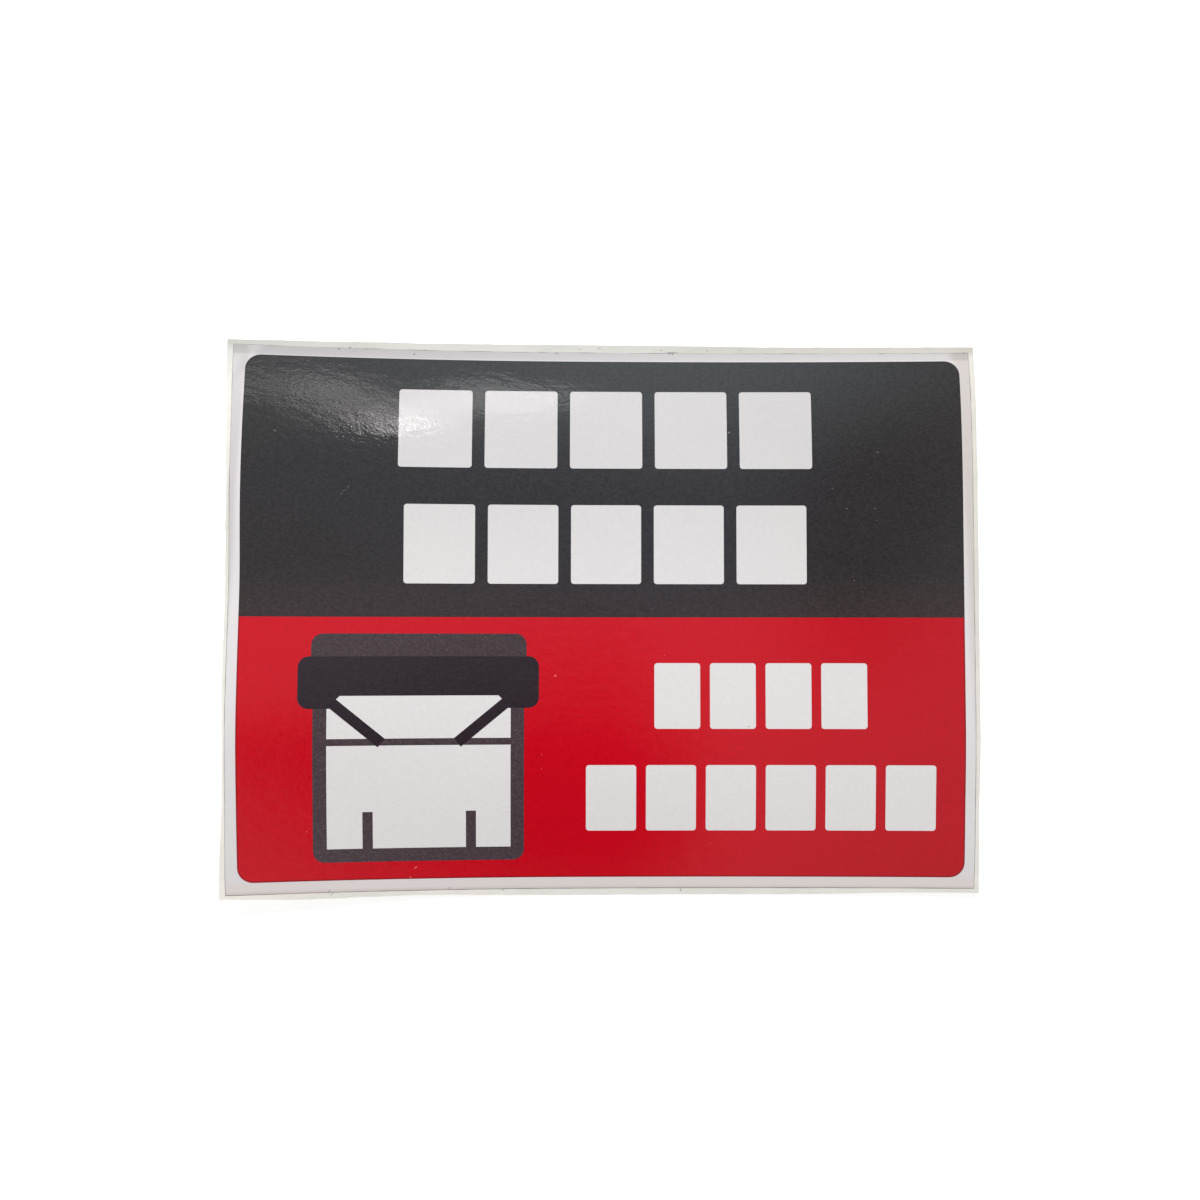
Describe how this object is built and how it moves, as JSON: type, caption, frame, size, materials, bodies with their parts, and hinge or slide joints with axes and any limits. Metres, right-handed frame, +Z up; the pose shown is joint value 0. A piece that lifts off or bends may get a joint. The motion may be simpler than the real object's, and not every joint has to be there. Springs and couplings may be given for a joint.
{
  "type": "switch warning sticker",
  "caption": "Printed vinyl sticker with a switch figure on a black and red panel, still on its release liner, gently curled.",
  "frame": {"origin": "middle of the sheet's outline, at the table it lies on", "axes": "+X to the right along the printed rows, +Y up the print, +Z up out of the printed face"},
  "size_m": [0.1998, 0.1486, 0.01],
  "materials": {
    "liner_paper": "silicone-coated release paper, satin",
    "white_film": "glossy white vinyl",
    "black_ink": "glossy black print",
    "red_ink": "glossy red print",
    "grey_ink": "glossy dark grey print with a fine grain",
    "dark_ink": "glossy near-black print"
  },
  "bodies": {
    "root": {"release_liner": "liner_paper", "vinyl_film": "white_film", "black_field": "black_ink", "red_field": "red_ink", "switch_case_print": "grey_ink", "switch_handle_print": "dark_ink"}
  },
  "joints": []
}
